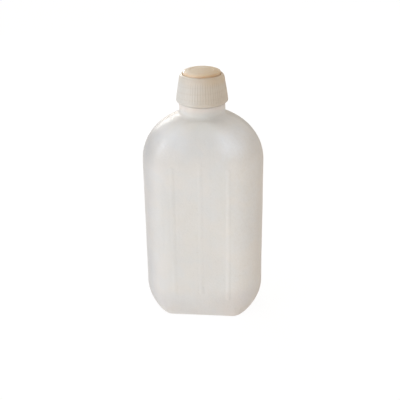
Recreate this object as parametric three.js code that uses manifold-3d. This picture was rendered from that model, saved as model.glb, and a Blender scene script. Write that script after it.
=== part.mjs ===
// Urine bottle, nominal 1 litre: a flat blow-moulded flask with a threaded
// neck, closed by a conical screw collar over a domed stopper and a sealing
// washer on the rim of the neck.
//
// Frame: millimetres, +Z up, origin at the centre of the base on the ground
// plane. +X is the width; the flat ribbed faces look to -Y (front) and +Y
// (back). The bottle stands upright and closed.

import * as THREE from 'three';
import { mergeVertices } from 'three/addons/utils/BufferGeometryUtils.js';
import Module from 'manifold-3d';

// ---- driving dimensions (mm) ------------------------------------------------

// flask
const HALF_WIDTH = 60;
const HALF_DEPTH = 32;
const WALL = 1.1;
const PLAN_CORNER_R = 29.9;      // rounding of the flanks, seen from above
const BASE_HALF_WIDTH = 37.4;
const BASE_EDGE_R = 1.2;         // rounding between the flat faces and the base
const BASE_PLAN_CORNER_R = 6;
const BOTTOM_CORNER_H = 27;      // height of the big lower corners
const BOTTOM_CORNER_EXP = 1.84;  // superellipse exponent of those corners
const PLAN_BLEND_H = 30;         // height over which the plan rounding opens up
const SHOULDER_Z = 164.3;        // where the straight sides end
const SHOULDER_H = 49.8;         // vertical semi-axis of the shoulder ellipse
const SHOULDER_EXP = 2.2;        // depthwise rounding of the shoulder
const FLASK_FACETS = 44;         // facets round the flask and the neck
const OUTER_SHOULDER_STEPS = 9;
const INNER_SHOULDER_STEPS = 6;

// neck
const NECK_RING_R = 22.4;
const NECK_RING_TOP = 221.4;
const NECK_FILLET_R = 4.1;       // shoulder half-width beyond the ring where the fillet starts
const NECK_ROOT_R = 19.1;
const BORE_R = 17.0;
const RIM_Z = 242.9;

// threads on the neck and in the collar
const THREAD_PITCH = 6;
const NECK_THREAD_CREST_R = 20.5;
const NECK_THREAD_Z0 = 226.6;    // height of the thread's centre line at its start
const NECK_THREAD_TURNS = 1.9;
const COLLAR_ROOT_R = 20.95;     // cylinder that carries the internal thread
const COLLAR_THREAD_CREST_R = 19.6;
const COLLAR_THREAD_TURNS = 1.9;
// the collar's thread lies close under the neck's next turn up
const COLLAR_THREAD_Z0 = NECK_THREAD_Z0 + THREAD_PITCH / 2 + 1.0;

// ribs on the two flat faces
const RIB_W = 5.6;
const RIB_PROUD = 0.5;
const RIB_ROOT = 0.5;            // depth the ribs are sunk into the wall
// x on the front face, bottom z, top z; the back is the front turned half a turn about Z
const RIBS = [
  [-27.6, 22, 166],
  [0, 24, 173],
  [27.6, 18, 165],
];

// collar
const COLLAR_Z0 = 222.1;
const COLLAR_EDGE_R = 23.9;      // radius at the foot of the bottom chamfer
const COLLAR_BOTTOM_R = 25.3;
const COLLAR_BOTTOM_Z = 224.1;
const COLLAR_TOP_R = 22.15;
const COLLAR_TOP_Z = 243.9;
const LIP_R = 19.8;              // highest ring of the lip
const LIP_Z = 249.6;
const GRIP_RIBS = 60;
const GRIP_DEPTH = 0.3;
const GRIP_MARGIN = 1.1;         // height between the full-depth grip and each end of the cone

// stopper and washer
const FLANGE_R = 20.5;
const FLANGE_Z0 = 243.9;
const FLANGE_Z1 = 245.3;
const FLANGE_GAP = 0.25;         // clearance from the flange to the collar
const CROWN_R = 18.2;            // crown that stands in the collar's opening
const CROWN_GAP = 0.3;
// radius and height, from the crown's side wall towards its centre
const CROWN_PROFILE = [
  [CROWN_R, 250.7], [18.05, 251.45], [17.4, 252.2],
  [16.1, 252.85], [12.8, 253.55], [7, 254.05],
];
const CROWN_TOP = 254.2;
const PLUG_R = 16.6;
const PLUG_Z0 = 235.5;
const PLUG_WALL = 1.4;
const WASHER_T = 0.8;
const LATHE_FACETS = 36;

// ---- solids from rings of points --------------------------------------------

const wasm = await Module();
wasm.setup();

const clamp = (value, low, high) => Math.min(high, Math.max(low, value));
const lerp = (from, to, t) => from + (to - from) * t;

// Manifold from a flat list of coordinates and one of triangle corners.
function toManifold(positions, indices) {
  const geometry = new THREE.BufferGeometry();
  geometry.setAttribute('position', new THREE.Float32BufferAttribute(positions, 3));
  geometry.setIndex(indices);
  const merged = mergeVertices(geometry, 1e-4);
  const points = merged.getAttribute('position');
  const vertProperties = new Float32Array(points.array);
  const triVerts = new Uint32Array(merged.getIndex().array);

  // turn the faces outwards if the rings were listed the other way round
  const corner = (i) => new THREE.Vector3().fromBufferAttribute(points, triVerts[i]);
  let signedVolume = 0;
  for (let i = 0; i < triVerts.length; i += 3) {
    signedVolume += corner(i).dot(corner(i + 1).cross(corner(i + 2)));
  }
  if (signedVolume < 0) {
    for (let i = 0; i < triVerts.length; i += 3) {
      [triVerts[i + 1], triVerts[i + 2]] = [triVerts[i + 2], triVerts[i + 1]];
    }
  }
  return new wasm.Manifold(new wasm.Mesh({ numProp: 3, vertProperties, triVerts }));
}

// Triangles of the first `bands` bands between successive rings. A band after
// the last ring leads back to the first.
function bandTriangles(rings, bands) {
  const count = rings[0].length;
  const indices = [];
  for (let i = 0; i < bands; i++) {
    const here = i * count;
    const there = ((i + 1) % rings.length) * count;
    for (let j = 0; j < count; j++) {
      const k = (j + 1) % count;
      indices.push(here + j, here + k, there + k);
      indices.push(here + j, there + k, there + j);
    }
  }
  return indices;
}

// Solid from closed rings of equal length, capped at both ends by fans round a
// centre point.
function cappedSolid(rings, startCentre, endCentre) {
  const count = rings[0].length;
  const indices = bandTriangles(rings, rings.length - 1);
  const start = rings.length * count;
  const end = start + 1;
  const last = start - count;
  for (let j = 0; j < count; j++) {
    const k = (j + 1) % count;
    indices.push(start, k, j);
    indices.push(end, last + j, last + k);
  }
  return toManifold([...rings.flat(2), ...startCentre, ...endCentre], indices);
}

// Ring-shaped solid: the last ring joins the first again.
function loopSolid(rings) {
  return toManifold(rings.flat(2), bandTriangles(rings, rings.length));
}

function fromManifold(manifold) {
  const { vertProperties, triVerts } = manifold.getMesh();
  const geometry = new THREE.BufferGeometry();
  geometry.setAttribute('position',
    new THREE.BufferAttribute(new Float32Array(vertProperties), 3));
  geometry.setIndex(new THREE.BufferAttribute(new Uint32Array(triVerts), 1));
  return geometry;
}

const facetAngle = (j, count) => ((j + 0.5) / count) * 2 * Math.PI;

// Circle of points at height z; every second point is set in by `groove`.
function circle(radius, z, count, groove = 0) {
  return Array.from({ length: count }, (_, j) => {
    const angle = facetAngle(j, count);
    const r = radius - (j % 2 ? groove : 0);
    return [r * Math.cos(angle), r * Math.sin(angle), z];
  });
}

// Rounded rectangle at height z. The facets follow the corner arcs; each flat
// is one long facet. The stretch brings those flats out to the full half-sizes.
function roundedRect(halfX, halfY, cornerR, z) {
  const reach = cornerR * Math.cos(Math.PI / FLASK_FACETS);
  const stretchX = halfX / (halfX - cornerR + reach);
  const stretchY = halfY / (halfY - cornerR + reach);
  return Array.from({ length: FLASK_FACETS }, (_, j) => {
    const angle = facetAngle(j, FLASK_FACETS);
    const c = Math.cos(angle);
    const s = Math.sin(angle);
    return [
      ((halfX - cornerR) * Math.sign(c) + cornerR * c) * stretchX,
      ((halfY - cornerR) * Math.sign(s) + cornerR * s) * stretchY,
      z,
    ];
  });
}

// Helical ridge of trapezoid section, starting at +X. baseR is buried in the
// wall, crestR is the free edge; the ridge runs in and out of the wall at both
// ends.
function threadRidge({ baseR, crestR, startZ, turns, baseW, crestW }) {
  const stepsPerTurn = 32;
  const runInSteps = 3;
  const steps = Math.round(stepsPerTurn * turns);
  const rings = [];
  for (let i = 0; i <= steps; i++) {
    const turned = (i / steps) * turns;
    const angle = turned * 2 * Math.PI;
    const midZ = startZ + turned * THREAD_PITCH;
    const fullness = clamp(Math.min(i, steps - i) / runInSteps, 0.12, 1);
    const tipR = lerp(baseR, crestR, fullness);
    const narrowing = lerp(0.5, 1, fullness);
    const halfBase = (baseW / 2) * narrowing;
    const halfCrest = (crestW / 2) * narrowing;
    const outline = [
      [baseR, midZ - halfBase],
      [tipR, midZ - halfCrest],
      [tipR, midZ + halfCrest],
      [baseR, midZ + halfBase],
    ];
    rings.push(outline.map(([r, z]) => [r * Math.cos(angle), r * Math.sin(angle), z]));
  }
  const centre = (ring) => [0, 1, 2].map(
    (axis) => ring.reduce((sum, point) => sum + point[axis], 0) / ring.length);
  return cappedSolid(rings, centre(rings[0]), centre(rings[steps]));
}

// ---- flask ------------------------------------------------------------------

// height at which the shoulder ellipse has narrowed to a half-width
const shoulderZ = (halfWidth) => SHOULDER_Z
  + SHOULDER_H * Math.sqrt(1 - (halfWidth / HALF_WIDTH) ** 2);
const NECK_BASE_Z = shoulderZ(NECK_RING_R);
const FILLET_Z = shoulderZ(NECK_RING_R + NECK_FILLET_R);

// The next three give the flask's measures at height z, for a surface set in
// by `inset` from the outside.

function flaskHalfWidth(z, inset) {
  const full = HALF_WIDTH - inset;
  if (z < BOTTOM_CORNER_H) {
    const t = (BOTTOM_CORNER_H - z) / (BOTTOM_CORNER_H - inset);
    const bulge = (1 - t ** BOTTOM_CORNER_EXP) ** (1 / BOTTOM_CORNER_EXP);
    return BASE_HALF_WIDTH + (full - BASE_HALF_WIDTH) * bulge;
  }
  if (z < SHOULDER_Z) return full;
  const t = (z - SHOULDER_Z) / (SHOULDER_H - inset);
  return full * Math.sqrt(1 - t * t);
}

// share of the shoulder's height reached at z, held at 1 against rounding
const shoulderShare = (z, inset) => Math.min(1,
  (z - SHOULDER_Z) / (NECK_BASE_Z - inset - SHOULDER_Z));

function flaskHalfDepth(z, inset) {
  if (z < BASE_EDGE_R + inset) {
    // held at 1 against rounding
    const t = Math.min(1, (BASE_EDGE_R + inset - z) / BASE_EDGE_R);
    return HALF_DEPTH - inset - BASE_EDGE_R * (1 - Math.sqrt(1 - t * t));
  }
  if (z < SHOULDER_Z) return HALF_DEPTH - inset;
  const bulge = (1 - shoulderShare(z, inset) ** SHOULDER_EXP) ** (1 / SHOULDER_EXP);
  return NECK_RING_R - inset + (HALF_DEPTH - NECK_RING_R) * bulge;
}

function flaskCornerR(z, inset) {
  if (z < PLAN_BLEND_H) {
    const t = (PLAN_BLEND_H - z) / (PLAN_BLEND_H - inset);
    return BASE_PLAN_CORNER_R
      + (PLAN_CORNER_R - BASE_PLAN_CORNER_R) * Math.sqrt(1 - t * t) - inset * 0.8;
  }
  if (z < SHOULDER_Z) return PLAN_CORNER_R - inset;
  return lerp(PLAN_CORNER_R, NECK_RING_R, shoulderShare(z, inset) ** 2) - inset;
}

const flaskSection = (z, inset) => roundedRect(
  flaskHalfWidth(z, inset), flaskHalfDepth(z, inset), flaskCornerR(z, inset), z);

// height of shoulder step i, the steps closing up towards topZ
const shoulderStepZ = (i, steps, topZ) => SHOULDER_Z
  + (topZ - SHOULDER_Z) * Math.sin((i / steps) * Math.PI / 2);

// Outside of the flask, from the base up to the rim.
function outerRings() {
  const heights = [0, 0.5, 1].map((t) => BASE_EDGE_R * (1 - Math.cos(t * Math.PI / 2)));
  heights.push(5.5, 11, 18, BOTTOM_CORNER_H, PLAN_BLEND_H, SHOULDER_Z);
  for (let i = 1; i <= OUTER_SHOULDER_STEPS; i++) {
    heights.push(shoulderStepZ(i, OUTER_SHOULDER_STEPS, FILLET_Z));
  }
  // half-width and half-depth beyond the neck ring, height above the fillet's start
  const fillet = [
    [2.0, 1.5, 1.1],
    [0.6, 0.5, 2.5],
  ];
  // radius, z: neck ring, thread root and rim
  const neck = [
    [NECK_RING_R, FILLET_Z + 4.4],
    [NECK_RING_R, NECK_RING_TOP - 0.9],
    [NECK_RING_R - 0.9, NECK_RING_TOP],
    [NECK_ROOT_R + 0.5, NECK_RING_TOP],
    [NECK_ROOT_R, NECK_RING_TOP + 0.6],
    [NECK_ROOT_R, RIM_Z - 0.4],
    [NECK_ROOT_R - 0.4, RIM_Z],
  ];
  return [
    ...heights.map((z) => flaskSection(z, 0)),
    ...fillet.map(([moreX, moreY, rise]) => roundedRect(
      NECK_RING_R + moreX, NECK_RING_R + moreY, NECK_RING_R, FILLET_Z + rise)),
    ...neck.map(([radius, z]) => circle(radius, z, FLASK_FACETS)),
  ];
}

// Inside of the flask, from the rim down to the floor.
function innerRings() {
  // radius, z
  const bore = [
    [BORE_R + 0.4, RIM_Z],
    [BORE_R, RIM_Z - 0.6],
    [BORE_R, NECK_RING_TOP - 0.4],
    [BORE_R + 2.2, NECK_RING_TOP - 3.4],
    [NECK_RING_R - 1.5, NECK_RING_TOP - 6],
    [NECK_RING_R - 1.5, NECK_BASE_Z + 0.6],
  ];
  const heights = [];
  for (let i = INNER_SHOULDER_STEPS; i >= 1; i--) {
    heights.push(shoulderStepZ(i, INNER_SHOULDER_STEPS, NECK_BASE_Z - WALL));
  }
  heights.push(SHOULDER_Z, PLAN_BLEND_H, 19, 8, BASE_EDGE_R + WALL, WALL);
  return [
    ...bore.map(([radius, z]) => circle(radius, z, FLASK_FACETS)),
    ...heights.map((z) => flaskSection(z, WALL)),
  ];
}

// Low upright bar with a rounded section and rounded ends, rooted in a flat
// face. side is -1 for the front, 1 for the back.
function ribBar([ribX, bottomZ, topZ], side) {
  const halfW = RIB_W / 2;
  const arcSteps = 5;
  const roundness = (s) => Math.sqrt(1 - (1 - s) ** 2);
  // z and relative size of the section
  const stations = [
    ...[0, 0.35, 1].map((s) => [bottomZ + halfW * s, roundness(s)]),
    ...[1, 0.35, 0].map((s) => [topZ - halfW * s, roundness(s)]),
  ];
  const rings = stations.map(([z, size]) => {
    const w = halfW * Math.max(size, 0.25);
    const proud = RIB_PROUD * Math.max(size, 0.35);
    // offset across the rib, depth below the face
    const outline = [[-w, RIB_ROOT], [w, RIB_ROOT]];
    for (let i = 1; i < arcSteps; i++) {
      const angle = (i / arcSteps) * Math.PI;
      outline.push([w * Math.cos(angle), -proud * Math.sin(angle) ** 0.5]);
    }
    return outline.map(([across, depth]) => [
      -side * (ribX + across), side * (HALF_DEPTH - depth), z]);
  });
  const capCentre = (z) => [-side * ribX, side * (HALF_DEPTH - 0.1), z];
  return cappedSolid(rings, capCentre(bottomZ), capCentre(topZ));
}

function makeFlask() {
  let flask = cappedSolid([...outerRings(), ...innerRings()], [0, 0, 0], [0, 0, WALL]);
  for (const rib of RIBS) {
    for (const side of [-1, 1]) flask = flask.add(ribBar(rib, side));
  }
  return fromManifold(flask.add(threadRidge({
    baseR: NECK_ROOT_R - 0.6,
    crestR: NECK_THREAD_CREST_R,
    startZ: NECK_THREAD_Z0,
    turns: NECK_THREAD_TURNS,
    baseW: 3.4,
    crestW: 1.3,
  })));
}

// ---- screw collar -----------------------------------------------------------

function makeCollar() {
  const gripRing = (z) => {
    const t = (z - COLLAR_BOTTOM_Z) / (COLLAR_TOP_Z - COLLAR_BOTTOM_Z);
    return [lerp(COLLAR_BOTTOM_R, COLLAR_TOP_R, t), z, GRIP_DEPTH];
  };
  const lip = [25, 50, 72, 90].map((degrees) => {
    const angle = degrees * Math.PI / 180;
    return [
      lerp(LIP_R, COLLAR_TOP_R, Math.cos(angle)),
      lerp(COLLAR_TOP_Z, LIP_Z, Math.sin(angle)),
    ];
  });
  // radius, z and, on the grip, groove depth: up the outside, down the inside
  const profile = [
    [COLLAR_EDGE_R - 0.5, COLLAR_Z0],
    [COLLAR_EDGE_R, COLLAR_Z0 + 0.25],
    [COLLAR_BOTTOM_R, COLLAR_BOTTOM_Z],
    gripRing(COLLAR_BOTTOM_Z + GRIP_MARGIN),
    gripRing(COLLAR_TOP_Z - GRIP_MARGIN),
    [COLLAR_TOP_R, COLLAR_TOP_Z],
    ...lip,
    [CROWN_R + CROWN_GAP, LIP_Z - 0.8],           // lip slopes down towards the crown
    [CROWN_R + CROWN_GAP, FLANGE_Z1 + FLANGE_GAP],
    [FLANGE_R + FLANGE_GAP, FLANGE_Z1 + FLANGE_GAP],
    [FLANGE_R + FLANGE_GAP, FLANGE_Z0 - FLANGE_GAP],
    [FLANGE_R - 0.35, FLANGE_Z0 - 0.45],          // snap bead under the flange
    [FLANGE_R - 0.35, FLANGE_Z0 - 0.9],
    [COLLAR_ROOT_R, FLANGE_Z0 - 1.8],
    [COLLAR_ROOT_R, 227.6],
    [COLLAR_EDGE_R - 1.1, COLLAR_Z0],
  ];
  const shell = loopSolid(profile.map(
    ([radius, z, groove]) => circle(radius, z, GRIP_RIBS * 2, groove)));
  return fromManifold(shell.add(threadRidge({
    baseR: COLLAR_ROOT_R + 0.5,
    crestR: COLLAR_THREAD_CREST_R,
    startZ: COLLAR_THREAD_Z0,
    turns: COLLAR_THREAD_TURNS,
    baseW: 3.0,
    crestW: 1.2,
  })));
}

// ---- stopper and washer (turned sections) -----------------------------------

// points are radius and height
function turned(points) {
  return new THREE.LatheGeometry(points.map(([r, z]) => new THREE.Vector2(r, z)), LATHE_FACETS);
}

// Hollow plug, open below, with a flange and a domed crown.
function makeStopper() {
  return turned([
    [0, CROWN_TOP - 1.8],
    [11, CROWN_TOP - 2.2],
    [PLUG_R - PLUG_WALL, 249.6],
    [PLUG_R - PLUG_WALL, PLUG_Z0],
    [PLUG_R - 0.5, PLUG_Z0],
    [PLUG_R, PLUG_Z0 + 4],
    [PLUG_R, FLANGE_Z0],
    [FLANGE_R, FLANGE_Z0],
    [FLANGE_R, FLANGE_Z1],
    [CROWN_R, FLANGE_Z1],
    ...CROWN_PROFILE,
    [0, CROWN_TOP],
  ]);
}

// Flat ring midway between the rim and the flange.
function makeWasher() {
  const innerR = PLUG_R + 0.3;
  const outerR = NECK_ROOT_R - 0.1;
  const bottomZ = (FLANGE_Z0 + RIM_Z - WASHER_T) / 2;
  const topZ = bottomZ + WASHER_T;
  return turned([
    [innerR, bottomZ],
    [outerR, bottomZ],
    [outerR, topZ],
    [innerR, topZ],
    [innerR, bottomZ],
  ]);
}

// ---- scene graph ------------------------------------------------------------

function namedMesh(name, geometry, { color, roughness }) {
  const material = new THREE.MeshStandardMaterial({ color, roughness, metalness: 0 });
  const mesh = new THREE.Mesh(geometry, material);
  mesh.name = name;
  return mesh;
}

// A lathe is drawn round +Y; this stands it on +Z.
function upright(mesh) {
  mesh.rotation.x = Math.PI / 2;
  return mesh;
}

const bottle = new THREE.Group();
bottle.add(namedMesh('bottle_body', makeFlask(), { color: 0xdbd8d3, roughness: 0.45 }));

const closure = new THREE.Group();
closure.add(
  namedMesh('cap_collar', makeCollar(), { color: 0xd2c7b8, roughness: 0.4 }),
  upright(namedMesh('stopper', makeStopper(), { color: 0xcdb99c, roughness: 0.35 })),
  upright(namedMesh('seal_washer', makeWasher(), { color: 0xb9a68c, roughness: 0.8 })),
);

const part = new THREE.Group();
part.add(bottle, closure);

export default part;
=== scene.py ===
"""A flat moulded flask with a ribbed screw collar, a stopper set in the collar and a seal washer.

The flask stands on z = 0 with its axis on Z. Its broad faces look along -Y (front) and +Y (back)
and its narrow sides along X. Shapes are worked out in millimetres and built in metres.
"""
import math
from functools import reduce

import bpy
import numpy as np
from mathutils import Matrix, Vector


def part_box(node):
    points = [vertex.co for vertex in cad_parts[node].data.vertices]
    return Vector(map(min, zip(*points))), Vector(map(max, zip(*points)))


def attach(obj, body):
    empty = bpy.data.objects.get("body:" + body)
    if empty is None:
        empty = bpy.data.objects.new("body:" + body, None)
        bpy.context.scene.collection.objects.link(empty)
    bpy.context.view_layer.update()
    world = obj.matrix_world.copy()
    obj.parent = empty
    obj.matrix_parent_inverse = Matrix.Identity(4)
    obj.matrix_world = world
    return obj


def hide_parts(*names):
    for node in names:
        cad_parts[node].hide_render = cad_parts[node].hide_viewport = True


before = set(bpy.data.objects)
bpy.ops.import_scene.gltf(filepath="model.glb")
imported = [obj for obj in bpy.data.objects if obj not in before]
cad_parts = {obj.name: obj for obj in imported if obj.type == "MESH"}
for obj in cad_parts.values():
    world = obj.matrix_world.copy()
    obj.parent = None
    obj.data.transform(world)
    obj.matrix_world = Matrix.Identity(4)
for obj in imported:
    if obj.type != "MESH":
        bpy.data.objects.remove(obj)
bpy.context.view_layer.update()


def box_mm(piece):
    return [np.array(corner) * 1000 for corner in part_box(piece)]


body_hi = box_mm("bottle_body")[1]
collar_lo, collar_hi = box_mm("cap_collar")
stopper_lo, stopper_hi = box_mm("stopper")
washer_lo, washer_hi = box_mm("seal_washer")

# Flask, in millimetres
RIB_PROUD = 0.5
HALF_WIDTH = body_hi[0]
HALF_DEPTH = body_hi[1] - RIB_PROUD + 0.02
RIM_Z = body_hi[2]
WALL = 1.1
PLAN_R = 29.9               # corner radius of the horizontal section
BASE_HALF_WIDTH = 37.4
BASE_EDGE_R = 1.2
BASE_PLAN_R = 6.0
FLARE_TOP_Z = 27.0          # the base widens to full width up to here
FLARE_POWER = 1.84
PLAN_BLEND_Z = 30.0         # the plan corners reach PLAN_R here
SHOULDER_Z = 164.3
SHOULDER_RISE = 49.8
SHOULDER_POWER = 2.2        # front and back curve of the shoulder
RECESS = 0.8                # lift of the base panel
RECESS_START, RECESS_END = 3.0, 7.0  # distances inside the base outline

# Neck
NECK_RING_R = 22.4
NECK_RING_TOP = 221.8
NECK_RING_EDGE = 0.7
NECK_RING_WALL = 1.5
NECK_R = 19.1               # root of the outer thread
NECK_FOOT_R = 0.8
BORE_R = 17.0
BORE_FOOT_Z = 221.0
RIM_OUTER_EDGE, RIM_INNER_EDGE = 0.6, 0.4


def shoulder_z(radius):
    """Height at which the shoulder curve has this half width."""
    return SHOULDER_Z + SHOULDER_RISE * math.sqrt(1 - (radius / HALF_WIDTH) ** 2)


NECK_BASE_Z = shoulder_z(NECK_RING_R)
FILLET_Z = shoulder_z(NECK_RING_R + 4.1)

# Ribs and parting line
RIB_X = 27.6
RIB_HALF = 3.1
RIB_STEP = 0.35             # point spacing across a rib
RIBS = [                    # x on the front, bottom z, top z, height
    (-RIB_X, 22.0, 166.0, 0.27),
    (0.0, 24.0, 173.0, 0.21),
    (RIB_X, 18.0, 165.0, 0.44),
]
SEAM_HEIGHT, SEAM_SPREAD = 0.2, 0.3

# Threads
PITCH = 6.0
THREAD_TURNS = 1.9
THREAD_Z = 226.6
COLLAR_THREAD_Z = THREAD_Z + 4.0

# Collar
COLLAR_Z = collar_lo[2]
COLLAR_EDGE_R, COLLAR_EDGE = 23.9, 0.45
LIP_Z = collar_hi[2]
LIP_R = 19.1
HOLE_R = 18.5
SKIRT_R, SKIRT_Z = collar_hi[0], 224.1
SKIRT_TOP_R, SKIRT_TOP_Z = 22.15, 243.9
SKIRT_BOW = 0.18
COLLAR_ROOT_R, COLLAR_CREST_R = 20.95, 19.6
GRIPS = 60
GRIP_DEPTH = 0.19

# Stopper and washer
FLANGE_R = stopper_hi[0]
FLANGE_Z0, FLANGE_Z1 = 243.9, 245.3
STOPPER_TOP, PLUG_Z = stopper_hi[2], stopper_lo[2]
PLUG_R, PLUG_INNER_R = 16.6, 15.2
CROWN_R = 18.2
HOLLOW_Z = STOPPER_TOP - 1.85   # centre of the hollow under the crown
TURNED_POINTS = 160
WASHER_INNER_R = 16.9


# ---- curves ---------------------------------------------------------------------
def smooth01(t):
    t = np.clip(t, 0.0, 1.0)
    return t * t * (3 - 2 * t)


def falloff(t, power=2):
    """Quarter of a superellipse: 1 at t = 0, 0 at t = 1."""
    return (1 - min(max(t, 0), 1) ** power) ** (1 / power)


def quarter_turn(count, start=0):
    """(sin, cos) pairs from a share of a right angle up to 90 degrees."""
    angles = [t * math.pi / 2 for t in np.linspace(start, 1, count)]
    return [(math.sin(angle), math.cos(angle)) for angle in angles]


def thread_height(theta, z, start_z, crest_half, base_half, height):
    """Height of a helical ridge over its root cylinder; theta in radians from +X."""
    share = np.mod(theta, 2 * math.pi) / (2 * math.pi)
    best = np.zeros_like(z)
    for turn in range(-1, int(THREAD_TURNS) + 2):
        along = share + turn
        distance = np.abs(z - (start_z + along * PITCH))
        profile = np.clip((base_half - distance) / (base_half - crest_half), 0, 1)
        profile = smooth01(profile) * 0.6 + profile * 0.4
        fade = smooth01(np.minimum(along, THREAD_TURNS - along) / 0.12)
        best = np.maximum(best, height * profile * fade)
    return best


# ---- meshes ---------------------------------------------------------------------
def add_object(name, mesh):
    obj = bpy.data.objects.new(name, mesh)
    bpy.context.scene.collection.objects.link(obj)
    return obj


def stack_mesh(name, rings, start=None, end=None, loop=False, inner_from=None):
    """Skin a stack of closed rings (ring, point, xyz) in millimetres.

    start, end: centre points that close the ends. loop: join the last ring to the first.
    inner_from: first ring whose faces take material slot 1.
    """
    rings = np.asarray(rings, float)
    ring_count, n, _ = rings.shape
    verts = rings.reshape(-1, 3)
    rows = np.arange(ring_count if loop else ring_count - 1)
    row, col = np.meshgrid(rows, np.arange(n), indexing="ij")
    row2, col2 = (row + 1) % ring_count, (col + 1) % n
    corners = [row * n + col, row * n + col2, row2 * n + col2, row2 * n + col]
    quads = np.stack(corners, -1).reshape(-1, 4)
    faces = quads.tolist()
    first_inner = ring_count if inner_from is None else inner_from
    slots = (row.reshape(-1) >= first_inner).astype(int).tolist()
    if start is not None:
        centre = len(verts)
        verts = np.vstack([verts, [start]])
        faces += [(centre, (k + 1) % n, k) for k in range(n)]
        slots += [0] * n
    if end is not None:
        centre = len(verts)
        last = (ring_count - 1) * n
        verts = np.vstack([verts, [end]])
        faces += [(centre, last + k, last + (k + 1) % n) for k in range(n)]
        slots += [0 if inner_from is None else 1] * n

    mesh = bpy.data.meshes.new(name)
    mesh.from_pydata((verts * 0.001).tolist(), [], faces)
    mesh.validate()
    # a negative enclosed volume, sampled over the quads, means the faces look inwards
    sample = quads[:: max(1, len(quads) // 4000)]
    a, b, c, d = (verts[sample[:, corner]] for corner in range(4))
    if np.sum(a * (np.cross(b, c) + np.cross(c, d))) < 0:
        mesh.flip_normals()
    mesh.polygons.foreach_set("material_index", np.array(slots, dtype=np.int32))
    mesh.polygons.foreach_set("use_smooth", np.ones(len(mesh.polygons), dtype=bool))
    mesh.update()
    return add_object(name, mesh)


def stand_in(obj, piece, mover):
    """Put obj in place of a frame piece and let it move with that part."""
    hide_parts(piece)
    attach(obj, mover)


def ring_normals(rings):
    """Unit normals of an open stack of closed rings."""
    around = np.roll(rings, -1, 1) - np.roll(rings, 1, 1)
    normals = np.cross(around, np.gradient(rings, axis=0))
    return normals / (np.linalg.norm(normals, axis=2, keepdims=True) + 1e-12)


def full_circle(count):
    return np.arange(count) / count * 2 * math.pi


def turned_ring(angles, radius, z):
    return np.stack([radius * np.cos(angles), radius * np.sin(angles), np.full_like(angles, z)], 1)


# ---- flask section --------------------------------------------------------------
def section_stations():
    """Places round the section, in quarters from 0 to 4; denser at the ribs and parting line."""
    quarter = (HALF_WIDTH - PLAN_R) + math.pi * PLAN_R / 2 + (HALF_DEPTH - PLAN_R)
    places = list(np.linspace(0, quarter, 58))
    places += list(np.arange(0, 3.5, RIB_STEP))
    places += list(np.arange(RIB_X - 3.3, RIB_X + 3.3, RIB_STEP))
    places += [quarter - gap for gap in (0.12, 0.25, 0.4, 0.6, 0.85, 1.2, 1.7)]
    places.sort()
    kept = [places[0]]
    for place in places[1:]:
        if place - kept[-1] > 0.1:
            kept.append(place)
    kept[-1] = quarter
    q = np.array(kept) / quarter
    return np.concatenate([q, 2 - q[::-1][1:], 2 + q[1:], 4 - q[::-1][1:-1]])


STATIONS = section_stations()


def section(half_x, half_y, radius, z):
    """Rounded rectangle from the front centre (0, -half_y) towards +X."""
    radius = min(radius, half_x, half_y)
    flat_x, arc, flat_y = half_x - radius, math.pi * radius / 2, half_y - radius
    quadrant = np.floor(STATIONS).astype(int) % 4
    share = STATIONS - np.floor(STATIONS)
    share = np.where(quadrant % 2 == 1, 1 - share, share)   # mirrored quarters
    s = share * (flat_x + arc + flat_y)
    turn = (s - flat_x) / max(arc, 1e-9) * (math.pi / 2)
    zones = [s < flat_x, s <= flat_x + arc]                 # flat, corner, then the side
    x = np.select(zones, [s, flat_x + radius * np.sin(turn)], half_x)
    y = np.select(zones, [np.full_like(s, -half_y), -flat_y - radius * np.cos(turn)],
                  s - flat_x - arc - flat_y)
    x = x * np.where(quadrant < 2, 1.0, -1.0)
    y = y * np.where((quadrant == 0) | (quadrant == 3), 1.0, -1.0)
    return np.stack([x, y, np.full_like(s, z)], 1)


def circle(radius, z):
    return section(radius, radius, radius, z)


def flask_size(z, wall):
    """Half width, half depth and plan radius at height z, set in by the wall."""
    rise = (z - SHOULDER_Z) / (NECK_BASE_Z - wall - SHOULDER_Z)
    if z < SHOULDER_Z:
        flare = falloff((FLARE_TOP_Z - z) / (FLARE_TOP_Z - wall), FLARE_POWER)
        half_x = BASE_HALF_WIDTH + (HALF_WIDTH - BASE_HALF_WIDTH - wall) * flare
        edge = falloff((BASE_EDGE_R + wall - z) / BASE_EDGE_R)
        half_y = HALF_DEPTH - wall - BASE_EDGE_R * (1 - edge)
    else:
        half_x = (HALF_WIDTH - wall) * falloff((z - SHOULDER_Z) / (SHOULDER_RISE - wall))
        half_y = NECK_RING_R - wall + (HALF_DEPTH - NECK_RING_R) * falloff(rise, SHOULDER_POWER)
    if z < PLAN_BLEND_Z:
        blend = falloff((PLAN_BLEND_Z - z) / (PLAN_BLEND_Z - wall))
        radius = BASE_PLAN_R + (PLAN_R - BASE_PLAN_R) * blend - wall * 0.8
    else:
        radius = PLAN_R + (NECK_RING_R - PLAN_R) * min(max(rise, 0), 1) ** 2 - wall
    return max(half_x, NECK_RING_R - wall), half_y, max(radius, 1.5)


def flask_rings(heights, wall=0):
    return [section(*flask_size(z, wall), z) for z in heights]


def base_panel(insets, wall, corner_r):
    """Rings of the recessed base, each at a distance inside the outline."""
    rings = []
    for inset in insets:
        lift = RECESS * smooth01((inset - RECESS_START) / (RECESS_END - RECESS_START))
        rings.append(section(BASE_HALF_WIDTH - wall - inset,
                             HALF_DEPTH - wall - BASE_EDGE_R - inset,
                             max(corner_r - inset * 0.5, 1.5), wall + lift))
    return rings


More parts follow.
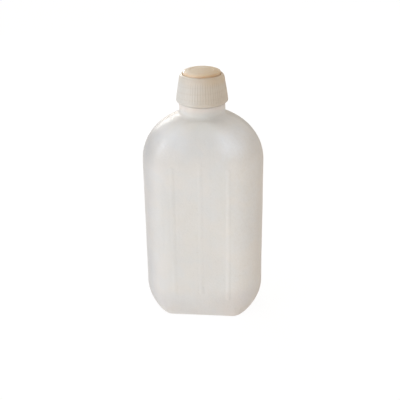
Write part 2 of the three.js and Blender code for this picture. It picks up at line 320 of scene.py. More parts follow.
def relief(rings, outside=True):
    """Ribs, sunk panels and slight unevenness on both skins; the parting line outside only."""
    normals = ring_normals(rings)
    mid = rings.shape[0] // 2
    normals = normals * np.sign(np.sum(normals[mid] * (rings[mid] * [1, 1, 0]), axis=1).mean())
    x, y, z = rings[:, :, 0], rings[:, :, 1], rings[:, :, 2]
    side = np.where(y < 0, -1.0, 1.0)
    on_face = smooth01((np.abs(normals[:, :, 1]) - 0.86) / 0.12)

    ribs = np.zeros_like(x)
    for rib_x, bottom, top, height in RIBS:
        nearest_z = np.clip(z, bottom + RIB_HALF, top - RIB_HALF)
        distance = np.hypot(x + side * rib_x, z - nearest_z) / RIB_HALF
        ribs = np.maximum(ribs, height * (0.5 + 0.5 * np.cos(math.pi * np.clip(distance, 0, 1))))

    # the faces are drawn in a little, as a cooled moulding is
    sink = 0.28 * smooth01((z - 16) / 30) * smooth01((168 - z) / 30)
    sink *= smooth01((33 - np.abs(x)) / 12)
    # slow waves: amplitude, then rate along x and z in radians per millimetre, and phase
    wave = (0.07 * np.sin(x * 0.115 + 1.3) * np.sin(z * 0.061 + 0.4)
            + 0.05 * np.sin(x * 0.23 - z * 0.083 + 2.1)
            + 0.045 * np.sin(z * 0.147 + x * 0.05 + 0.7))
    wave *= smooth01((z - 4) / 10) * smooth01((FILLET_Z - z) / 14)
    move = (ribs - sink) * on_face + wave - 0.09
    if outside:
        seam = SEAM_HEIGHT * np.exp(-(y / SEAM_SPREAD) ** 2) * smooth01((z - 0.3) / 1.0)
        # fades out where the shoulder meets the neck ring
        near_neck = smooth01((np.abs(x) - NECK_RING_R + 1.5) / 2.5)
        seam *= np.where(np.abs(x) > NECK_RING_R + 1, 1.0, near_neck)
        move = (move + seam * (1 - on_face)) * smooth01(z / 2.5)
    else:
        # uneven wall thickness
        move = (move + 0.10 * np.sin(x * 0.07 + z * 0.045 + side * 0.8)
                + 0.07 * np.sin(z * 0.11 - x * 0.031 * side + 1.1))
        move *= smooth01((FILLET_Z + 2 - z) / 10) * smooth01((z - WALL) / 5)
    moved = rings + normals * move[:, :, None]
    if outside:
        moved[:, :, 2] = np.maximum(moved[:, :, 2], 0.0)
    return moved


# ---- bottle ---------------------------------------------------------------------
def outer_base():
    """Recessed base with a thin ridge across it along X, on the parting plane."""
    insets = (30.6, 30.2, 29.4, 28, 25, 21, 17, 13, 10, 8,
              7, 6.4, 5.8, 5.2, 4.6, 4.0, 3.4, 2.8, 1.6, 0.6)
    rings = np.array(base_panel(insets, 0, BASE_PLAN_R))
    x, y = rings[:, :, 0], rings[:, :, 1]
    ridge = 0.42 * np.exp(-(y / 0.42) ** 2) * smooth01((31.5 - np.abs(x)) / 3.0)
    rings[:, :, 2] -= ridge * (0.85 + 0.15 * np.sin(x * 0.9 + 0.4))
    return rings


def outer_flask():
    heights = [BASE_EDGE_R * (1 - cos) for _, cos in quarter_turn(7)]
    heights += list(np.linspace(1.7, 14, 16)) + list(np.arange(15, 30.1, 0.6))
    heights += list(np.linspace(33, 156, 30)) + list(np.arange(157.5, 176, 0.6))
    angles = [math.asin((z - SHOULDER_Z) / SHOULDER_RISE) for z in (176.2, FILLET_Z)]
    heights += [SHOULDER_Z + SHOULDER_RISE * math.sin(v) for v in np.linspace(*angles, 36)]
    rings = flask_rings(heights)
    # fillet from the shoulder into the neck ring
    half_x, half_y, _ = flask_size(FILLET_Z, 0)
    for t in np.linspace(0.12, 1, 12):
        left = (1 - t) ** 2.1
        rings.append(section(NECK_RING_R + (half_x - NECK_RING_R) * left,
                             NECK_RING_R + (half_y - NECK_RING_R) * left,
                             NECK_RING_R, FILLET_Z + 4.6 * t ** 1.15))
    return relief(np.concatenate([outer_base(), rings]))


def outer_neck():
    rings = [circle(NECK_RING_R, z) for z in (215.5, 217.5, 219.2)]
    edge, foot, rim = NECK_RING_EDGE, NECK_FOOT_R, RIM_OUTER_EDGE
    rings += [circle(NECK_RING_R - edge + edge * cos, NECK_RING_TOP - edge + edge * sin)
              for sin, cos in quarter_turn(7)]
    rings.append(circle(NECK_R + 1.6, NECK_RING_TOP))
    rings += [circle(NECK_R + foot - foot * sin, NECK_RING_TOP + foot - foot * cos)
              for sin, cos in quarter_turn(5)]

    root = np.array([circle(NECK_R, z) for z in np.arange(222.8, 242.0, 0.24)])
    x, y, z = root[:, :, 0], root[:, :, 1], root[:, :, 2]
    lift = thread_height(np.arctan2(y, x), z, THREAD_Z,
                         crest_half=0.62, base_half=1.36, height=1.38)
    radius = np.hypot(x, y)
    root[:, :, :2] *= ((radius + lift) / radius)[:, :, None]

    rim_rings = [circle(NECK_R - rim + rim * cos, RIM_Z - rim + rim * sin)
                 for sin, cos in quarter_turn(6)]
    return np.concatenate([rings, root, rim_rings])


def inner_neck():
    edge = RIM_INNER_EDGE
    rings = [circle(BORE_R + edge - edge * sin, RIM_Z - edge + edge * cos)
             for sin, cos in quarter_turn(4)]
    rings += [circle(BORE_R, z) for z in (238, 232, 226, BORE_FOOT_Z)]
    wide_r = NECK_RING_R - NECK_RING_WALL
    for t in np.linspace(0.1, 1, 8):
        rings.append(circle(BORE_R + (wide_r - BORE_R) * smooth01(t), BORE_FOOT_Z - 5.6 * t))
    rings += [circle(wide_r, z) for z in (213.5, NECK_BASE_Z + 1.2)]
    return rings


def inner_flask():
    rise = NECK_BASE_Z - WALL - SHOULDER_Z
    low_angle = math.asin((176 - SHOULDER_Z) / rise)
    heights = [SHOULDER_Z + rise * math.sin(v) for v in np.linspace(math.pi / 2, low_angle, 18)]
    heights += list(np.arange(175, 156.9, -1.0)) + list(np.linspace(154, 33, 24))
    heights += list(np.arange(30.5, 14.9, -1.0)) + [13, 11, 9, 7, 5.2, 3.8, 2.8]
    return relief(np.array(flask_rings(heights, WALL)), outside=False)


def inner_base():
    heights = [WALL + BASE_EDGE_R * (1 - cos) for _, cos in quarter_turn(5)[-2::-1]]
    insets = (1.2, 3, 4.2, 5.4, 7, 10, 16, 22, 27)
    return flask_rings(heights, WALL) + base_panel(insets, WALL, BASE_PLAN_R - 1)


def build_bottle():
    outer = np.concatenate([outer_flask(), outer_neck()])
    inner = np.concatenate([inner_neck(), inner_flask(), inner_base()])
    bottle = stack_mesh("bottle_shell", np.concatenate([outer, inner]),
                        start=(0, 0, RECESS - 0.38), end=(0, 0, WALL + RECESS),
                        inner_from=len(outer) - 1)
    stand_in(bottle, "bottle_body", "bottle")
    return bottle


# ---- screw collar ---------------------------------------------------------------
def skirt_r(z):
    return SKIRT_R + (SKIRT_TOP_R - SKIRT_R) * (z - SKIRT_Z) / (SKIRT_TOP_Z - SKIRT_Z)


def skirt_bow(z):
    """The flank is very slightly convex."""
    t = (z - SKIRT_Z) / (SKIRT_TOP_Z - SKIRT_Z)
    return SKIRT_BOW * 4 * t * (1 - t)


def build_collar():
    angles = full_circle(GRIPS * 12)
    grip = GRIP_DEPTH * (0.5 - 0.5 * np.cos(angles * GRIPS)) ** 1.4
    # (radius, z) of each ring; a radius may vary round the ring
    profile = [(COLLAR_EDGE_R - COLLAR_EDGE + COLLAR_EDGE * sin,
                COLLAR_Z + COLLAR_EDGE - COLLAR_EDGE * cos) for sin, cos in quarter_turn(4)]
    # chamfer and foot of the skirt
    profile += [(24.42, COLLAR_Z + 0.8), (24.82, COLLAR_Z + 1.25), (25.08, COLLAR_Z + 1.65),
                (25.2, 224.2), (25.2, 224.65), (skirt_r(225.05) + 0.01, 225.05)]
    # flank with grips
    for low, high, count in ((225.35, 226.4, 6), (228, 240.6, 9), (241.6, 243.0, 6)):
        for z in np.linspace(low, high, count):
            profile.append((skirt_r(z) + skirt_bow(z) - grip * smooth01((z - 225.2) / 1.1), z))
    # rounded shoulder, where the grips run out
    for sin, cos in quarter_turn(20, start=0.04):
        z = SKIRT_TOP_Z + (LIP_Z - SKIRT_TOP_Z) * sin
        fade = smooth01((248.6 - z) / 4.2)
        profile.append((LIP_R + (SKIRT_TOP_R - LIP_R) * cos - grip * fade, z))
    profile += [
        # lip and hole
        (18.92, LIP_Z - 0.01), (18.76, LIP_Z - 0.05), (18.62, LIP_Z - 0.13),
        (18.49, LIP_Z - 0.25), (18.37, LIP_Z - 0.45), (18.3, LIP_Z - 0.95), (18.3, LIP_Z - 1.7),
        (HOLE_R, LIP_Z - 2.1), (HOLE_R, 247.0), (HOLE_R, FLANGE_Z1 + 0.5),
        # seat round the stopper flange
        (HOLE_R + 0.1, FLANGE_Z1 + 0.3), (HOLE_R + 0.4, FLANGE_Z1 + 0.25),
        (FLANGE_R - 0.4, FLANGE_Z1 + 0.25), (FLANGE_R + 0.15, FLANGE_Z1 + 0.2),
        (FLANGE_R + 0.25, FLANGE_Z1), (FLANGE_R + 0.25, FLANGE_Z0 - 0.2),
        (FLANGE_R + 0.1, FLANGE_Z0 - 0.32), (FLANGE_R - 0.25, FLANGE_Z0 - 0.42),
        (FLANGE_R - 0.35, FLANGE_Z0 - 0.6), (FLANGE_R - 0.33, FLANGE_Z0 - 0.9),
        (FLANGE_R, FLANGE_Z0 - 1.3),
        (COLLAR_ROOT_R - 0.1, FLANGE_Z0 - 1.7), (COLLAR_ROOT_R, FLANGE_Z0 - 1.9),
    ]
    for z in np.arange(241.6, 227.9, -0.26):
        lift = thread_height(angles, np.full_like(angles, z), COLLAR_THREAD_Z, crest_half=0.58,
                             base_half=1.22, height=COLLAR_ROOT_R - COLLAR_CREST_R)
        profile.append((COLLAR_ROOT_R - lift, z))
    # flared mouth
    profile += [(21.0, 227.5), (21.35, 226.4), (22.05, 224.6), (22.55, 223.4), (22.75, 222.98),
                (22.95, 222.78), (23.2, COLLAR_Z)]
    collar = stack_mesh("cap_collar_shell", [turned_ring(angles, r, z) for r, z in profile],
                        loop=True)
    stand_in(collar, "cap_collar", "collar")
    return collar


# ---- stopper and washer ---------------------------------------------------------
def turned(name, profile, **ends):
    angles = full_circle(TURNED_POINTS)
    return stack_mesh(name, [turned_ring(angles, r, z) for r, z in profile], **ends)


def rounded(points, steps=4):
    """Profile through (r, z, corner size) points; the two ends stay sharp."""
    profile = [points[0][:2]]
    for before, point, after in zip(points, points[1:], points[2:]):
        corner = np.array(point[:2])
        to_before, to_after = np.array(before[:2]) - corner, np.array(after[:2]) - corner
        len_before, len_after = np.linalg.norm(to_before), np.linalg.norm(to_after)
        size = min(point[2], len_before * 0.45, len_after * 0.45)
        first = corner + to_before / len_before * size
        last = corner + to_after / len_after * size
        for t in np.linspace(0, 1, steps + 1):
            profile.append((1 - t) ** 2 * first + 2 * t * (1 - t) * corner + t * t * last)
    return profile + [points[-1][:2]]


# (r, z): side wall, soft edge, low bead, dished centre and a small raised point
CROWN = [
    (18.2, 250.5), (18.19, 250.8), (18.15, 251.1), (18.06, 251.4), (17.9, 251.7),
    (17.65, 251.98), (17.3, 252.24), (16.8, 252.5), (16.2, 252.74), (15.4, 252.98),
    (14.4, 253.2), (13.3, 253.4), (12.6, 253.5), (12.2, 253.52), (11.95, 253.49),
    (11.75, 253.4), (11.5, 253.26), (11.25, 253.17), (10.9, 253.14), (10.2, 253.2),
    (8.6, 253.42), (6.8, 253.62), (5.0, 253.76), (3.4, 253.84), (2.6, 253.86),
    (2.2, 253.8), (1.9, 253.72), (1.5, 253.7), (1.1, 253.74), (0.85, 253.84),
    (0.6, 254.0), (0.35, 254.08), (0.15, 254.1),
]


def build_stopper():
    # from the hollow under the crown, down the plug wall and up its outside to the crown
    profile = rounded([
        (0.9, HOLLOW_Z, 0), (11, STOPPER_TOP - 2.3, 1.5), (PLUG_INNER_R, 249.6, 2.0),
        (PLUG_INNER_R, PLUG_Z, 0.25), (PLUG_R - 0.5, PLUG_Z, 0.4), (PLUG_R, PLUG_Z + 4, 1.0),
        (PLUG_R, FLANGE_Z0, 0.25), (FLANGE_R, FLANGE_Z0, 0.25), (FLANGE_R, FLANGE_Z1, 0.25),
        (CROWN_R, FLANGE_Z1, 0.3), (CROWN_R, 250.2, 0)])
    stopper = turned("stopper_plug", profile + CROWN,
                     start=(0, 0, HOLLOW_Z), end=(0, 0, CROWN[-1][1]))
    stand_in(stopper, "stopper", "stopper_set")
    return stopper


def build_washer():
    inner, outer = WASHER_INNER_R, washer_hi[0]
    bottom, top = washer_lo[2], washer_hi[2]
    middle = (bottom + top) / 2
    edge, cut = 0.18, 0.05      # rounded edge, and its middle point
    washer = turned("seal_ring", [
        (inner + edge, bottom), (outer - edge, bottom), (outer - cut, bottom + cut),
        (outer, bottom + edge), (outer, middle), (outer, top - edge),
        (outer - cut, top - cut), (outer - edge, top), (inner + edge, top),
        (inner + cut, top - cut), (inner, top - edge), (inner, middle),
        (inner, bottom + edge), (inner + cut, bottom + cut)], loop=True)
    stand_in(washer, "seal_washer", "stopper_set")
    return washer


# ---- node graphs ----------------------------------------------------------------
class Graph:
    """Short calls for building the node tree of a material or world."""

    def __init__(self, owner):
        owner.use_nodes = True
        self.tree = owner.node_tree
        self.tree.nodes.clear()

    def put(self, value, socket):
        """Link or set an input; colours may leave out alpha."""
        if isinstance(value, bpy.types.NodeSocket):
            self.tree.links.new(value, socket)
        elif isinstance(value, tuple) and len(value) == 3 and socket.type == "RGBA":
            socket.default_value = (*value, 1)
        else:
            socket.default_value = value

    def node(self, kind, inputs=None, **settings):
        node = self.tree.nodes.new(kind)
        for key, value in settings.items():
            setattr(node, key, value)
        for key, value in (inputs or {}).items():
            self.put(value, node.inputs[key])
        return node

    def shader(self, kind, **inputs):
        return self.node(kind, inputs).outputs[0]

    def output(self, kind, shader):
        self.node(kind, {"Surface": shader})

    def math(self, operation, a, b):
        return self.node("ShaderNodeMath", {0: a, 1: b}, operation=operation).outputs[0]

    def product(self, *factors):
        return reduce(lambda a, b: self.math("MULTIPLY", a, b), factors)

    def mix(self, factor, a, b, blend="MIX"):
        return self.node("ShaderNodeMix", {0: factor, 6: a, 7: b},
                         data_type="RGBA", blend_type=blend).outputs[2]

    def mix_shader(self, factor, a, b):
        return self.node("ShaderNodeMixShader", {0: factor, 1: a, 2: b}).outputs[0]

    def seen_as(self, seen, lighting):
        """One shader for camera rays, another for all the light that falls on things."""
        camera_ray = self.node("ShaderNodeLightPath").outputs["Is Camera Ray"]
        return self.mix_shader(camera_ray, lighting, seen)


class Surface(Graph):
    """Patterns placed by object position in millimetres."""

    def __init__(self, material):
        super().__init__(material)
        coords = self.node("ShaderNodeTexCoord").outputs["Object"]
        self.position = self.node("ShaderNodeVectorMath", {0: coords, "Scale": 1000.0},
                                  operation="SCALE").outputs[0]

    def xyz(self):
        return self.node("ShaderNodeSeparateXYZ", {0: self.position}).outputs

    def ramp(self, value, over, to=(0.0, 1.0)):
        """Smooth step from to[0] to to[1] as the value runs over a range."""
        return self.node("ShaderNodeMapRange", {
            "Value": value, "From Min": over[0], "From Max": over[1],
            "To Min": to[0], "To Max": to[1]},
            interpolation_type="SMOOTHSTEP", clamp=True).outputs["Result"]

    def placed(self, size, offset, stretch=(1, 1, 1)):
        return self.node("ShaderNodeMapping", {
            "Vector": self.position, "Scale": [1 / (size * s) for s in stretch],
            "Location": offset}).outputs[0]

    def noise(self, size, offset, detail=2.0, roughness=0.5, stretch=(1, 1, 1), distort=0.0):
        return self.node("ShaderNodeTexNoise", {
            "Vector": self.placed(size, offset, stretch), "Scale": 1.0, "Detail": detail,
            "Roughness": roughness, "Distortion": distort}).outputs["Fac"]

    def wander(self, size, offset, reach):
        """Noise centred on zero, for bending a coordinate."""
        return self.product(self.math("SUBTRACT", self.noise(size, offset), 0.5), reach)

    def bump(self, height, strength, distance, normal=None):
        inputs = {"Strength": strength, "Distance": distance, "Height": height}
        if normal is not None:
            inputs["Normal"] = normal
        return self.node("ShaderNodeBump", inputs).outputs[0]

    def wash(self, colour, *washes):
        """Multiply the colour by each (mask, tone) in turn."""
        for mask, tone in washes:
            colour = self.mix(mask, colour, tone, "MULTIPLY")
        return colour

    def two_tone(self, mask, colour, low, high):
        """Multiply by one tone where the mask is 0 and another where it is 1."""
        return self.mix(mask, self.wash(colour, (1.0, low)), self.wash(colour, (1.0, high)))


# ---- moulded plastic ------------------------------------------------------------
def plastic_colour(g, clouds, base, shade, streaks, mottle, spots):
    """Cloudy colour with vertical flow streaks, fine mottling and sparse dark spots."""
    def darker(factor):
        return tuple(v * factor for v in base)

    flow = g.noise(size=3.2, stretch=(1, 1, 45), offset=(1.7, 9.1, 0.2))
    fine = g.noise(size=1.6, detail=3, roughness=0.6, offset=(5, 5, 5))
    colour = g.mix(g.ramp(clouds, over=(0.35, 0.68)), base, shade)
    colour = g.mix(g.product(g.ramp(flow, over=(0.38, 0.66)), streaks), colour, darker(0.93))
    colour = g.mix(g.ramp(fine, over=(0.3, 0.75), to=(0.0, mottle)), colour, darker(0.95))
    if spots:
        cells = g.node("ShaderNodeTexVoronoi", {
            "Vector": g.placed(size=11.0, offset=(0.37, 0.81, 0.12)), "Scale": 1.0})
        pick = g.node("ShaderNodeSeparateColor", {0: cells.outputs["Color"]}).outputs[0]
        spotted = g.math("GREATER_THAN", pick, 0.90)    # one cell in ten
        dot = g.ramp(cells.outputs["Distance"], over=(0.10, 0.03))
        brown = (base[0] * 0.62, base[1] * 0.5, base[2] * 0.36)
        colour = g.mix(g.product(dot, spotted, spots), colour, brown)
    return colour


def plastic_normal(g, marks, grain, grain_size, scratch, hammer):
    """Orange peel, optional hammered dimples, grain and scratches; distances in metres."""
    peel = g.noise(size=9.0, offset=(4.3, 1.9, 2.1))
    normal = g.bump(peel, strength=0.35, distance=0.00022)
    if hammer:
        dimples = g.noise(size=2.3, detail=1, offset=(7.1, 3.3, 5.9))
        normal = g.bump(dimples, strength=hammer, distance=0.0002, normal=normal)
    grit = g.noise(size=grain_size, roughness=0.6, offset=(0.3, 0.9, 0.1))
    normal = g.bump(grit, strength=grain, distance=0.00012, normal=normal)
    return g.bump(marks, strength=-0.25 * scratch, distance=0.00004, normal=normal)


def plastic(name, base, shade, roughness, grain, grain_size, translucence, through,
            streaks=0.3, mottle=0.25, spots=0.0, scratch=0.25, subsurface=0.0, scatter_mm=4.0,
            specular=0.5, hammer=0.0, tint=None):
    """Moulded plastic that lets some light through, in the colour `through`."""
    material = bpy.data.materials.new(name)
    g = Surface(material)
    clouds = g.noise(size=34, detail=3, roughness=0.55, offset=(3.1, 0.4, 7.7))
    colour = plastic_colour(g, clouds, base, shade, streaks, mottle, spots)
    if tint is not None:
        colour = tint(g, colour)

    # worn patches are a little shinier, scratches duller
    wear = g.noise(size=18, detail=4, roughness=0.62, offset=(8.3, 2.2, 1.9))
    across = g.noise(size=0.55, detail=1, roughness=0.4, stretch=(26, 1, 6),
                     offset=(2.2, 0, 4.4), distort=0.3)
    along = g.noise(size=0.6, detail=1, roughness=0.4, stretch=(4, 1, 30),
                    offset=(6.2, 3, 0.4), distort=0.3)
    marks = g.math("MAXIMUM", g.ramp(across, over=(0.68, 0.74)), g.ramp(along, over=(0.69, 0.75)))
    worn = g.ramp(wear, over=(0.3, 0.72), to=(roughness - 0.03, roughness + 0.05))
    normal = plastic_normal(g, marks, grain, grain_size, scratch, hammer)

    solid = g.node("ShaderNodeBsdfPrincipled", {
        "Base Color": colour,
        "Roughness": g.math("ADD", worn, g.product(marks, 0.10 * scratch)),
        "IOR": 1.5,
        "Specular IOR Level": specular,
        "Subsurface Weight": subsurface,
        "Subsurface Radius": (1.0, 0.98, 0.94),
        "Subsurface Scale": scatter_mm * 0.001,
        "Normal": normal}).outputs[0]
    lit_through = g.shader("ShaderNodeBsdfTranslucent", Normal=normal,
                           Color=g.mix(0.5, colour, through, "MULTIPLY"))
    share = g.ramp(clouds, over=(0.3, 0.7), to=(translucence * 1.12, translucence * 0.88))
    g.output("ShaderNodeOutputMaterial", g.mix_shader(share, solid, lit_through))
    return material


def body_tint(g, colour):
    x, y, z = g.xyz()
    # the lower edge and base are a little yellower
    patches = g.noise(size=14, offset=(9, 1, 3))
    yellowing = g.ramp(patches, over=(0.25, 0.8), to=(0.08, 0.30))
    colour = g.mix(g.product(g.ramp(z, over=(22, 2)), yellowing), colour, (0.76, 0.69, 0.60))

    wander = g.wander(size=40, offset=(1, 7, 2), reach=30.0)
    bent_z = g.math("ADD", z, wander)
    bent_x = g.math("ADD", x, g.product(wander, 0.35))
    low_body = g.ramp(z, over=(196, 168))
    # masks for painted light and shade on the shoulder: back, front right, front left, left end
    back = g.product(g.ramp(z, over=(164, 190)), g.ramp(y, over=(-5.0, 9.0)))
    back_shade_tone = g.mix(g.ramp(x, over=(-12, 12)), (0.84, 0.81, 0.785), (0.91, 0.905, 0.895))
    front_right_light = g.product(g.ramp(z, over=(170, 188)), g.ramp(x, over=(10, 30)),
                            g.ramp(y, over=(6.0, -7.0)), g.ramp(x, over=(52, 38)))
    front_left_light = g.product(g.ramp(z, over=(166, 190)), g.ramp(x, over=(-2, -22)),
                           g.ramp(y, over=(6.0, -7.0)), g.ramp(x, over=(-47, -33)))
    far_left_shade = g.product(g.ramp(x, over=(-33, -46)), g.ramp(z, over=(158, 176)))
    colour = g.wash(
        colour,
        # painted shade: cooler and darker on the shoulder and at the foot
        (g.ramp(bent_z, over=(150, 192)), (0.93, 0.94, 0.955)),
        (g.ramp(bent_z, over=(40, 12)), (0.94, 0.935, 0.94)),
        # painted light and shade on the shoulder: shade at the back, light on the front right and
        # front left, shade at the left end
        (back, back_shade_tone),
        (front_right_light, (1.13, 1.14, 1.165)),
        (front_left_light, (1.055, 1.065, 1.085)),
        (far_left_shade, (0.935, 0.94, 0.945)),
        # painted shade on the top of the shoulder and a painted highlight on the neck ring
        (g.ramp(z, over=(196, 209)), (0.98, 0.975, 0.955)),
        (g.ramp(z, over=(214, 220)), (1.085, 1.03, 1.01)),
        # painted shade darkens the narrow sides: two steps on the left; on the right, painted
        # light, lighter and warmer, then painted shade at the edge
        (g.ramp(bent_x, over=(-28, -50)), (0.92, 0.925, 0.945)),
        (g.ramp(bent_x, over=(-43, -55)), (0.86, 0.86, 0.865)),
        (g.product(g.ramp(bent_x, over=(12, 44)), low_body), (1.035, 1.02, 1.01)),
        (g.product(g.ramp(bent_x, over=(47, 58)), low_body), (0.95, 0.945, 0.94)))

    # fine mottling, strongest on the right
    specks = g.noise(size=2.3, detail=3, roughness=0.65, stretch=(1, 1, 1.25),
                     offset=(3, 8, 1), distort=0.4)
    right = g.product(g.ramp(bent_x, over=(8, 46), to=(0.12, 1.0)),
                      g.ramp(z, over=(12, 40), to=(0.3, 1.0)))
    colour = g.wash(colour, (g.product(g.ramp(specks, over=(0.44, 0.64)), right),
                             (0.979, 0.972, 0.962)))
    # cloudy patches, cooler and warmer
    patches = g.noise(size=21, roughness=0.55, offset=(6.4, 2.2, 9.3), distort=0.3)
    colour = g.two_tone(g.ramp(patches, over=(0.36, 0.64)), colour,
                        low=(0.985, 0.995, 1.005), high=(1.006, 0.998, 0.99))
    # painted shade, darker low on the right
    low_right_shade = g.product(g.ramp(bent_x, over=(5, 34)), g.ramp(bent_z, over=(34, 10)))
    return g.wash(colour, (low_right_shade, (0.965, 0.95, 0.945)))


def collar_tint(g, colour):
    x, y, z = g.xyz()
    # uneven yellowing with painted shade, both growing towards the right
    across = g.math("ADD", g.product(x, 0.80), g.product(y, -0.25))
    across = g.math("ADD", across, g.wander(size=16, offset=(2, 5, 8), reach=14.0))
    colour = g.two_tone(g.ramp(across, over=(-22, 20)), colour,
                        low=(0.885, 0.915, 0.955), high=(0.87, 0.81, 0.74))
    # painted shade on the top of the skirt and shoulder, darkest at the left end, warmer and
    # darker on the right
    top = g.mix(g.ramp(across, over=(-13, -4)), (0.94, 0.91, 0.87), (1.0, 0.965, 0.93))
    top_right_shade = g.product(g.ramp(across, over=(4, 20)), g.ramp(z, over=(240, 246)))
    colour = g.wash(colour,
                    (g.ramp(z, over=(239.5, 245.5)), g.wash(top, (1.0, (1.02, 1.02, 1.02)))),
                    (top_right_shade, (0.99, 0.96, 0.90)))
    # painted highlight on the lip, paler on the left
    lip_highlight = g.product(g.ramp(z, over=(248.3, 249.4)), g.ramp(across, over=(6, -8)), 0.8)
    colour = g.mix(lip_highlight, colour, (0.88, 0.82, 0.74))
    # painted shade: the thread behind the wall shows as a slightly darker spiral band
    angle = g.math("DIVIDE", g.math("ARCTAN2", y, x), 2 * math.pi)
    turn = g.math("DIVIDE", g.math("SUBTRACT", z, COLLAR_THREAD_Z), PITCH)
    # ten whole turns keep the value positive
    phase = g.math("ADD", g.math("SUBTRACT", turn, angle), 10.0)
    off_thread = g.math("PINGPONG", phase, 0.5)
    extent = g.product(g.ramp(z, over=(227.5, 229.5)), g.ramp(z, over=(242.5, 240.5)))
    thread_shade = g.product(g.ramp(off_thread, over=(0.24, 0.04)), extent, 0.11)
    return g.mix(thread_shade, colour, (0.50, 0.42, 0.32))


def stopper_tint(g, colour):
    x, y, z = g.xyz()
    # painted shade in the groove: deeper, browner colour down the side wall
    side_wall_shade = g.product(g.ramp(z, over=(252.7, 250.8)), 0.55)
    colour = g.mix(side_wall_shade, colour, (0.63, 0.44, 0.27))
    # painted light and shade: paler on the left, browner on the right, and a painted reflection
    # lighter at the back
    bent_x = g.math("ADD", x, g.wander(size=12, offset=(4, 2, 6), reach=9.0))
    colour = g.two_tone(g.ramp(bent_x, over=(-14, 15)), colour,
                        low=(1.12, 1.155, 1.22), high=(0.95, 0.875, 0.775))
    return g.wash(colour, (g.ramp(y, over=(2, 14)), (1.05, 1.07, 1.09)))


def body_material():
    return plastic(
        "natural_polyethylene", base=(0.820, 0.798, 0.770), shade=(0.800, 0.775, 0.738),
        roughness=0.34, grain=0.55, grain_size=0.55, translucence=0.10,
        through=(1.0, 0.985, 0.95), streaks=0.12, mottle=1 / 3, spots=0.16,
        subsurface=1.0, scatter_mm=1.6, hammer=1.0, tint=body_tint)


def inside_material():
    return plastic(
        "natural_polyethylene_inside", base=(0.80, 0.785, 0.75), shade=(0.77, 0.75, 0.71),
        roughness=0.5, grain=0.3, grain_size=0.8, translucence=0.72,
        through=(1.0, 0.985, 0.95), scratch=0.0, specular=0.2)


def collar_material():
    return plastic(
        "yellowed_polyethylene", base=(0.765, 0.73, 0.68), shade=(0.74, 0.70, 0.64),
        roughness=0.36, grain=0.4, grain_size=0.5, translucence=0.06,
        through=(1.0, 0.95, 0.88), spots=0.10, subsurface=1.0, scatter_mm=1.4,
        tint=collar_tint)


def stopper_material():
    return plastic(
        "tan_moulding", base=(0.78, 0.68, 0.54), shade=(0.74, 0.62, 0.47),
        roughness=0.34, grain=0.25, grain_size=0.6, translucence=0.06,
        through=(1.0, 0.9, 0.75), spots=0.1, scratch=0.4, subsurface=1.0, scatter_mm=1.2,
        tint=stopper_tint)


def washer_material():
    return plastic(
        "pale_rubber", base=(0.45, 0.37, 0.28), shade=(0.40, 0.33, 0.25),
        roughness=0.7, grain=0.5, grain_size=0.35, translucence=0.0, through=(1, 1, 1),
        scratch=0.2)


# ---- floor, world and lights ----------------------------------------------------
def studio_light(g, direction):
    """Studio surroundings as a colour of direction: bright front left, dim and warm behind
    right, a little darker overhead."""
    def graded(axis, stops):
        """Colour by the cosine of the angle to an axis; stops are (cosine, colour)."""
        cosine = g.node("ShaderNodeVectorMath", {0: direction, 1: Vector(axis).normalized()},
                        operation="DOT_PRODUCT").outputs["Value"]
        share = g.node("ShaderNodeMapRange", {
            "Value": cosine, "From Min": -1, "From Max": 1}).outputs[0]
        node = g.node("ShaderNodeValToRGB", {0: share})
        ramp = node.color_ramp
        ramp.interpolation = "EASE"
        for element, (cosine_stop, colour) in zip(ramp.elements, (stops[0], stops[-1])):
            element.position = (cosine_stop + 1) / 2
            element.color = (*colour, 1)
        for cosine_stop, colour in stops[1:-1]:
            ramp.elements.new((cosine_stop + 1) / 2).color = (*colour, 1)
        return node.outputs[0]

    side = graded((-0.62, -0.78, 0.0), [
        (-1, (0.60, 0.54, 0.47)), (-0.2, (0.70, 0.67, 0.635)),
        (0.5, (0.825, 0.817, 0.805)), (1, (0.85, 0.852, 0.855))])
    height = graded((0, 0, 1), [(-1, (1, 1, 1)), (0.0, (1, 1, 1)), (1, (0.80, 0.80, 0.80))])
    return g.mix(1.0, side, height, "MULTIPLY")


def build_floor():
    half, z = 6.0, -0.0002      # metres
    mesh = bpy.data.meshes.new("floor")
    mesh.from_pydata([(-half, -half, z), (half, -half, z), (half, half, z), (-half, half, z)],
                     [], [(0, 1, 2, 3)])
    add_object("floor", mesh)

    material = bpy.data.materials.new("pale_floor")
    g = Graph(material)
    # the camera sees a near-white floor that takes soft shadows
    matt = g.shader("ShaderNodeBsdfDiffuse", Color=(0.14, 0.14, 0.14))
    glow = g.shader("ShaderNodeEmission", Color=(1, 1, 1), Strength=0.90)
    seen = g.node("ShaderNodeAddShader", {0: matt, 1: glow}).outputs[0]
    # other rays meet the studio surroundings
    incoming = g.node("ShaderNodeNewGeometry").outputs["Incoming"]
    outward = g.node("ShaderNodeVectorMath", {0: incoming, "Scale": -1.0}, operation="SCALE")
    surroundings = g.shader("ShaderNodeEmission", Strength=1.12,
                            Color=studio_light(g, outward.outputs[0]))
    g.output("ShaderNodeOutputMaterial", g.seen_as(seen, lighting=surroundings))
    mesh.materials.append(material)


def build_world():
    world = bpy.data.worlds.new("studio")
    bpy.context.scene.world = world
    g = Graph(world)
    direction = g.node("ShaderNodeTexCoord").outputs["Generated"]
    lighting = g.shader("ShaderNodeBackground", Color=studio_light(g, direction), Strength=1.21)
    white = g.shader("ShaderNodeBackground", Color=(1, 1, 1), Strength=1.05)
    g.output("ShaderNodeOutputWorld", g.seen_as(white, lighting))


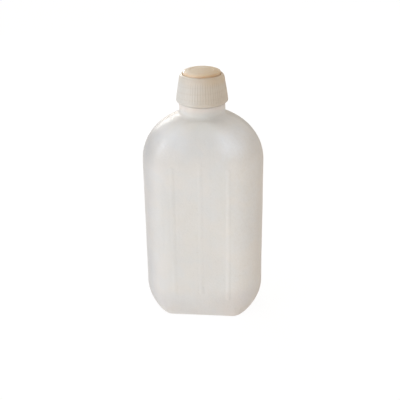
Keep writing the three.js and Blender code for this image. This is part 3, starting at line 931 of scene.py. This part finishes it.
def add_area_light(name, direction, distance, size, power, color, aim_z):
    """Rectangular light in a direction from a point on the axis, facing it; metres, watts."""
    light = bpy.data.lights.new(name, "AREA")
    light.shape = "RECTANGLE"
    light.size, light.size_y = size
    light.energy = power
    light.color = color
    direction = Vector(direction).normalized()
    obj = add_object(name, light)
    obj.location = Vector((0, 0, aim_z)) + direction * distance
    obj.rotation_mode = "QUATERNION"
    obj.rotation_quaternion = direction.to_track_quat("Z", "Y")


def build_lights():
    add_area_light("softbox", direction=(-0.785, -0.615, -0.06), distance=1.3,
                   size=(0.07, 0.09), power=3.4, color=(1.0, 0.998, 0.99), aim_z=0.2)
    add_area_light("top_left", direction=(-0.72, -0.05, 0.68), distance=1.3,
                   size=(0.20, 0.20), power=0.3, color=(1.0, 0.99, 0.97), aim_z=0.22)
    add_area_light("backdrop_glow", direction=(-0.489, 0.847, 0.208), distance=1.4,
                   size=(0.6, 0.36), power=4.0, color=(1.0, 0.97, 0.93), aim_z=0.22)


def build_camera():
    """Camera in front, a little to the right and above, slightly rolled; metres."""
    azimuth, elevation, roll = (math.radians(angle) for angle in (5.98, 23.92, 0.90))
    distance, aim_shift, aim_z = 0.800, -0.00357, 0.11759
    back = Vector((math.sin(azimuth) * math.cos(elevation),
                   -math.cos(azimuth) * math.cos(elevation), math.sin(elevation)))
    right = Vector((math.cos(azimuth), math.sin(azimuth), 0.0))
    up = back.cross(right)
    location = Vector((0, 0, aim_z)) + right * aim_shift + back * distance
    rolled_right = right * math.cos(roll) - up * math.sin(roll)
    rolled_up = right * math.sin(roll) + up * math.cos(roll)
    rotation = Matrix((rolled_right, rolled_up, back)).transposed()

    camera = bpy.data.cameras.new("camera")
    camera.sensor_width = 36
    camera.lens = 70.56
    camera.clip_start, camera.clip_end = 0.05, 50
    obj = bpy.data.objects.new("camera", camera)
    obj.matrix_world = Matrix.Translation(location) @ rotation.to_4x4()
    bpy.context.scene.collection.objects.link(obj)
    bpy.context.scene.camera = obj
    bpy.context.scene.view_settings.view_transform = "Standard"


# ---- assembly -------------------------------------------------------------------
pieces = [build_bottle(), build_collar(), build_stopper(), build_washer()]
materials = [(body_material(), inside_material()), (collar_material(),),
             (stopper_material(),), (washer_material(),)]
for piece, piece_materials in zip(pieces, materials):
    piece.data.materials.clear()
    for piece_material in piece_materials:
        piece.data.materials.append(piece_material)

build_floor()
build_world()
build_lights()
build_camera()
